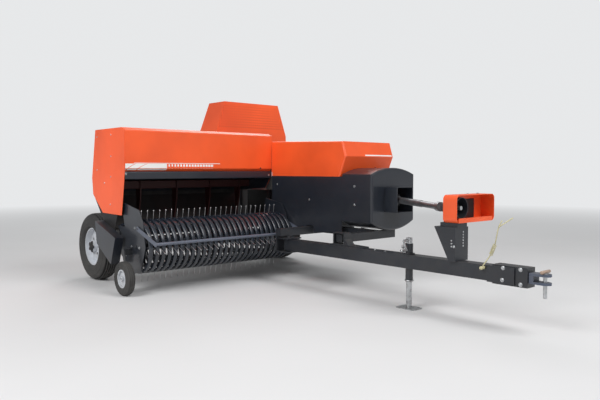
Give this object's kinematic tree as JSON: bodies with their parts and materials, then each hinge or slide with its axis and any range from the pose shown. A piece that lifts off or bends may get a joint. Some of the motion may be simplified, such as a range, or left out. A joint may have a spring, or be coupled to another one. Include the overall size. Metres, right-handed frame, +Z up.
{
  "type": "small square baler",
  "caption": "Towed small square baler: tined pickup under a sheet hood, offset bale chamber with knotter tower, and a side drawbar with jack and shaft.",
  "frame": {"origin": "on the ground, in the middle of the overall length and width", "axes": "+X the way it is towed, +Y its left side, +Z up"},
  "size_m": [6.045, 3.003, 2.11],
  "materials": {
    "frame_paint": "satin charcoal paint on welded frame, drawbar and chamber",
    "panel_paint": "satin charcoal paint on sheet panels",
    "orange_paint": "gloss orange paint on sheet covers",
    "rim_silver": "silver paint on wheel rims",
    "tyre_rubber": "ribbed implement tyre",
    "zinc": "zinc plated steel",
    "spring_steel": "oiled spring steel tines",
    "tube_grey": "drawn steel tube of the shaft",
    "feeder_red": "dark red paint on the feeder",
    "hitch_blue": "forged clevis with blue-grey paint",
    "cream_rod": "cream coated spring rod",
    "black_iron": "black cast gearbox, flywheel and plunger",
    "white_film": "white stripes on the orange sheets"
  },
  "bodies": {
    "chassis": {"main_frame": "frame_paint", "bale_floor": "frame_paint", "bale_roof": "frame_paint", "bale_wall_right": "frame_paint", "bale_wall_left": "frame_paint", "plunger": "black_iron", "gearbox": "black_iron", "feed_table": "panel_paint", "feeder": "feeder_red", "pickup_hood": "orange_paint", "hood_lip": "panel_paint", "hood_end_right": "orange_paint", "hood_end_left": "orange_paint", "wheel_deflector": "panel_paint", "housing_right": "panel_paint", "housing_left": "panel_paint", "front_guard": "panel_paint", "front_cover": "orange_paint", "knotter": "frame_paint", "needle_pins": "frame_paint", "meter_stand": "frame_paint", "tension_frame": "frame_paint", "chute_pin": "frame_paint", "twine_box": "panel_paint", "lift_lugs": "frame_paint"},
    "right_wheel": {"tyre_right": "tyre_rubber", "rim_right": "rim_silver"},
    "left_wheel": {"tyre_left": "tyre_rubber", "rim_left": "rim_silver"},
    "flywheel_body": {"flywheel": "black_iron", "joint_fork": "black_iron"},
    "knotter_lid": {"knotter_cover": "orange_paint"},
    "needles": {"needle_yoke": "frame_paint"},
    "measuring_wheel": {"meter_wheel": "zinc"},
    "chute": {"bale_chute": "panel_paint"},
    "twine_box_lid": {"twine_lid": "panel_paint"},
    "drawbar_body": {"drawbar": "frame_paint", "pedestal": "frame_paint", "pto_guard": "orange_paint", "hitch_head": "frame_paint", "jack_tube": "frame_paint", "jack_head": "zinc", "hose_holder": "cream_rod"},
    "input_stub": {"pto_stub": "zinc"},
    "shaft_rear": {"shaft_outer": "tube_grey"},
    "shaft_front": {"shaft_inner": "tube_grey"},
    "hitch_swivel": {"hitch_clevis": "hitch_blue"},
    "hitch_pin_body": {"hitch_pin": "zinc"},
    "jack_foot": {"jack_leg": "zinc"},
    "pickup": {"pickup_frame": "panel_paint", "strippers": "panel_paint", "gauge_arm": "frame_paint"},
    "pickup_reel": {"reel": "spring_steel"},
    "windguard_body": {"windguard": "frame_paint"},
    "gauge_wheel": {"gauge_rim": "rim_silver", "gauge_tyre": "tyre_rubber"}
  },
  "joints": [
    {"name": "right_wheel_spin", "type": "hinge", "parent": "chassis", "child": "right_wheel", "pos_m": [-1.522, -1.245, 0.37], "axis": [0, 1, 0], "continuous": true},
    {"name": "left_wheel_spin", "type": "hinge", "parent": "chassis", "child": "left_wheel", "pos_m": [-1.522, 1.38, 0.37], "axis": [0, 1, 0], "continuous": true},
    {"name": "flywheel_spin", "type": "hinge", "parent": "chassis", "child": "flywheel_body", "pos_m": [0.358, 0.85, 0.91], "axis": [1, 0, 0], "continuous": true},
    {"name": "knotter_cover_hinge", "type": "hinge", "parent": "chassis", "child": "knotter_lid", "pos_m": [-1.917, 0.92, 1.172], "axis": [0, -1, 0], "range_deg": [0, 60]},
    {"name": "needle_swing", "type": "hinge", "parent": "chassis", "child": "needles", "pos_m": [-2.222, 0.92, 0.83], "axis": [0, -1, 0], "range_deg": [0, 78]},
    {"name": "measuring_wheel_spin", "type": "hinge", "parent": "chassis", "child": "measuring_wheel", "pos_m": [-2.162, 0.92, 1.08], "axis": [0, 1, 0], "continuous": true},
    {"name": "chute_fold", "type": "hinge", "parent": "chassis", "child": "chute", "pos_m": [-2.786, 0.92, 0.596], "axis": [0, 1, 0], "range_deg": [0, 85]},
    {"name": "twine_lid_hinge", "type": "hinge", "parent": "chassis", "child": "twine_box_lid", "pos_m": [-0.867, 1.195, 1.102], "axis": [1, 0, 0], "range_deg": [0, 100]},
    {"name": "drawbar_swing", "type": "hinge", "parent": "chassis", "child": "drawbar_body", "pos_m": [0.098, 0.17, 0.42], "axis": [0, 0, 1], "range_deg": [0, 14]},
    {"name": "input_stub_spin", "type": "hinge", "parent": "drawbar_body", "child": "input_stub", "pos_m": [2.078, 0.17, 0.91], "axis": [1, 0, 0], "continuous": true},
    {"name": "shaft_yaw", "type": "hinge", "parent": "chassis", "child": "shaft_rear", "pos_m": [1.038, 0.85, 0.91], "axis": [0, 0, 1], "range_deg": [0, 21.6]},
    {"name": "shaft_telescope", "type": "slide", "parent": "shaft_rear", "child": "shaft_front", "axis": [0.837, -0.5472, 0], "range_m": [-0.24112, 0]},
    {"name": "hitch_roll", "type": "hinge", "parent": "drawbar_body", "child": "hitch_swivel", "pos_m": [2.868, 0.17, 0.42], "axis": [1, 0, 0], "range_deg": [-20, 20]},
    {"name": "hitch_pin_lift", "type": "slide", "parent": "hitch_swivel", "child": "hitch_pin_body", "axis": [0, 0, 1], "range_m": [0, 0.2]},
    {"name": "jack_extend", "type": "slide", "parent": "drawbar_body", "child": "jack_foot", "axis": [0, 0, 1], "range_m": [0, 0.2]},
    {"name": "pickup_lift", "type": "hinge", "parent": "chassis", "child": "pickup", "pos_m": [-0.942, -0.4, 0.47], "axis": [0, -1, 0], "range_deg": [0, 20]},
    {"name": "reel_spin", "type": "hinge", "parent": "pickup", "child": "pickup_reel", "pos_m": [-0.502, -0.4, 0.46], "axis": [0, 1, 0], "continuous": true},
    {"name": "windguard_float", "type": "hinge", "parent": "pickup", "child": "windguard_body", "pos_m": [-0.437, -0.4, 0.642], "axis": [0, -1, 0], "range_deg": [0, 50]},
    {"name": "gauge_wheel_spin", "type": "hinge", "parent": "pickup", "child": "gauge_wheel", "pos_m": [-0.452, -1.46, 0.167], "axis": [0, 1, 0], "continuous": true}
  ],
  "couplings": [
    {"joint": "shaft_yaw", "follows": "drawbar_swing", "ratio": 1.543},
    {"joint": "shaft_telescope", "follows": "drawbar_swing", "m_per_rad": -0.9864},
    {"joint": "input_stub_spin", "follows": "flywheel_spin", "ratio": 1}
  ]
}
